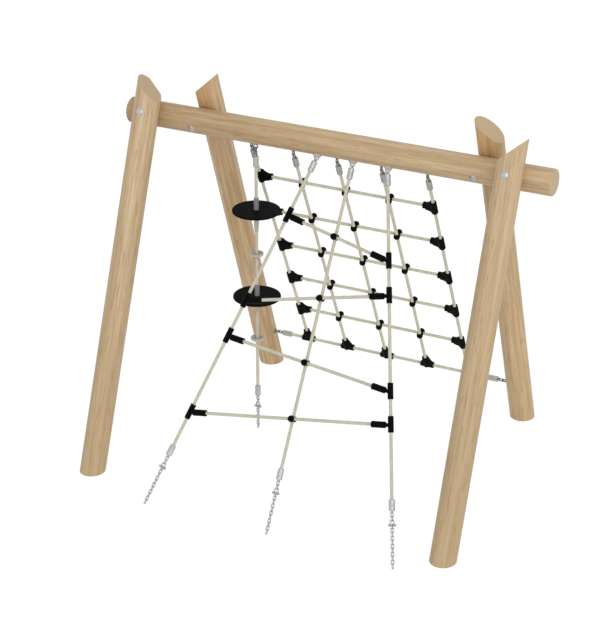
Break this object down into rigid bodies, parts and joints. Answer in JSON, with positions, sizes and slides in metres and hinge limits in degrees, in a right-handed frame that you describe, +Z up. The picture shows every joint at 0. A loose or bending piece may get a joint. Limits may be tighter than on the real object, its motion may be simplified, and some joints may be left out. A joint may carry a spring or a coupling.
{
  "type": "wooden climbing frame",
  "caption": "Round-log A-frame for climbing, with a slanted rope net at the back, a zigzag rope ladder in front and a hanging rope with stepping discs",
  "frame": {"origin": "Centre of the footprint on the ground", "axes": "X runs along the beam to the right, Y runs from the ladder in front to the net behind, Z is up"},
  "size_m": [2.43, 1.9067, 2.0592],
  "materials": {
    "log_wood": "turned timber, planed smooth, grain along the log",
    "cap_plastic": "smooth moulded",
    "rope": "laid strands of covered wire",
    "black_plastic": "moulded, slightly glossy",
    "disc_rubber": "moulded, matt",
    "hub_plastic": "smooth moulded",
    "zinc_steel": "galvanised"
  },
  "bodies": {
    "frame": {"beam": "log_wood", "front_left_post": "log_wood", "front_right_post": "log_wood", "rear_left_post": "log_wood", "rear_right_post": "log_wood", "post_bolts": "zinc_steel", "post_bolt_washers": "zinc_steel", "post_bolt_nuts": "zinc_steel", "post_bolt_caps": "cap_plastic", "net_upright_1": "rope", "net_upright_2": "rope", "net_upright_3": "rope", "net_upright_4": "rope", "net_upright_5": "rope", "net_cross_rope_1": "rope", "net_cross_rope_2": "rope", "net_cross_rope_3": "rope", "net_cross_rope_4": "rope", "net_cross_rope_5": "rope", "net_bottom_rope": "rope", "net_cross_clamps": "black_plastic", "net_edge_tees": "black_plastic", "net_bottom_tees": "black_plastic", "net_top_ferrules": "zinc_steel", "net_side_ferrules": "zinc_steel", "net_top_eye_bolts": "zinc_steel", "net_side_eye_bolts": "zinc_steel", "net_hanger_links": "zinc_steel", "ladder_rope_left": "rope", "ladder_rope_middle": "rope", "ladder_rope_right": "rope", "ladder_rung_1": "rope", "ladder_rung_2": "rope", "ladder_rung_3": "rope", "ladder_rung_4": "rope", "ladder_tees": "black_plastic", "ladder_ball_clamps": "black_plastic", "ladder_top_ferrules": "zinc_steel", "ladder_bottom_ferrules": "zinc_steel", "ladder_eye_bolts": "zinc_steel", "ladder_anchor_shackles": "zinc_steel", "ladder_anchor_pins": "zinc_steel", "ladder_anchor_chain_left": "zinc_steel", "ladder_anchor_chain_middle": "zinc_steel", "ladder_anchor_chain_right": "zinc_steel", "disc_rope": "rope", "upper_disc_hub": "hub_plastic", "lower_disc_hub": "hub_plastic", "upper_stop_ring": "hub_plastic", "lower_stop_ring": "hub_plastic", "disc_rope_top_ferrule": "zinc_steel", "disc_rope_bottom_ferrule": "zinc_steel", "disc_rope_eye_bolt": "zinc_steel", "disc_rope_hanger_links": "zinc_steel", "disc_rope_anchor_chain": "zinc_steel", "disc_rope_anchor_shackle": "zinc_steel", "disc_rope_anchor_pin": "zinc_steel"},
    "upper_disc": {"upper_disc": "disc_rubber"},
    "lower_disc": {"lower_disc": "disc_rubber"}
  },
  "joints": [
    {"name": "upper_disc_spin", "type": "hinge", "parent": "frame", "child": "upper_disc", "pos_m": [-0.458, 0.06363, 1.343], "axis": [0, 0, 1], "continuous": true},
    {"name": "lower_disc_spin", "type": "hinge", "parent": "frame", "child": "lower_disc", "pos_m": [-0.458, 0.06363, 0.832], "axis": [0, 0, 1], "continuous": true}
  ]
}
